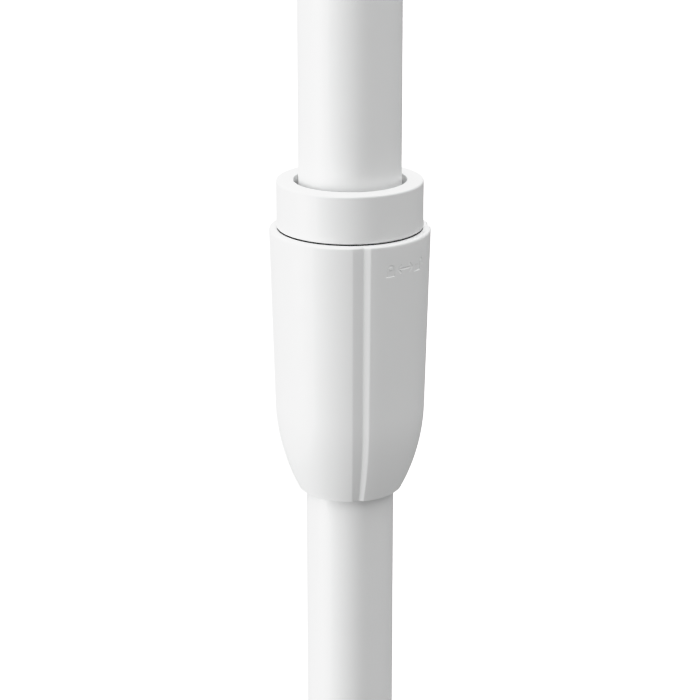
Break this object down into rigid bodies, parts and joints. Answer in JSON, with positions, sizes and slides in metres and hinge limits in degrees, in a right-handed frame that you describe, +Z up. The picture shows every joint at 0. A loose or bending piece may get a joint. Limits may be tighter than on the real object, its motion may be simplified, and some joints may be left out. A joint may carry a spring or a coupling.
{
  "type": "telescopic pole joint",
  "caption": "Telescopic pole section with a tapered, lobed twist-lock grip and a plain collar where a narrow lower tube slides into a wider upper tube.",
  "frame": {"origin": "centre of the lower end face, on the pole's axis", "axes": "+Z up along the pole from the narrow lower tube to the wide upper tube, -Y towards the front of the grip"},
  "size_m": [0.0394, 0.0394, 0.29],
  "materials": {
    "white_paint": "satin powder coat",
    "white_plastic": "fine satin moulding",
    "black_plastic": "as moulded",
    "natural_plastic": "as moulded",
    "grey_plastic": "as moulded",
    "rubber": "matte",
    "steel": "bright",
    "brass": "turned"
  },
  "bodies": {
    "lower_pole": {"lower_tube": "white_paint", "guide_bush": "grey_plastic", "lower_end_plug": "white_plastic", "lower_thread_insert": "brass", "lower_rivet_left": "white_paint", "lower_rivet_right": "white_paint"},
    "wiper": {"wiper_ring": "rubber"},
    "upper_pole": {"upper_tube": "white_paint", "collar_ring": "white_plastic", "collet_core": "black_plastic", "friction_liner": "rubber", "wave_washer": "steel", "upper_end_plug": "white_plastic", "upper_thread_insert": "brass", "upper_rivet_left": "white_paint", "upper_rivet_right": "white_paint", "core_screw_1": "steel", "core_screw_2": "steel", "core_screw_3": "steel"},
    "grip": {"grip_sleeve": "white_plastic", "retaining_ring": "black_plastic", "thrust_washer": "natural_plastic"},
    "wedge": {"wedge_ring": "grey_plastic"}
  },
  "joints": [
    {"name": "height_slide", "type": "slide", "parent": "lower_pole", "child": "wiper", "axis": [0, 0, 1], "range_m": [-0.061, 0.053]},
    {"name": "pole_swivel", "type": "hinge", "parent": "wiper", "child": "upper_pole", "pos_m": [0, 0, 0.11], "axis": [0, 0, 1], "continuous": true},
    {"name": "grip_twist", "type": "hinge", "parent": "upper_pole", "child": "grip", "pos_m": [0, 0, 0.155], "axis": [0, 0, 1], "range_deg": [0, 75]},
    {"name": "wedge_travel", "type": "slide", "parent": "upper_pole", "child": "wedge", "axis": [0, 0, 1], "range_m": [-0.002, 0]}
  ],
  "couplings": [
    {"joint": "wedge_travel", "follows": "grip_twist", "m_per_rad": -0.0015279}
  ]
}
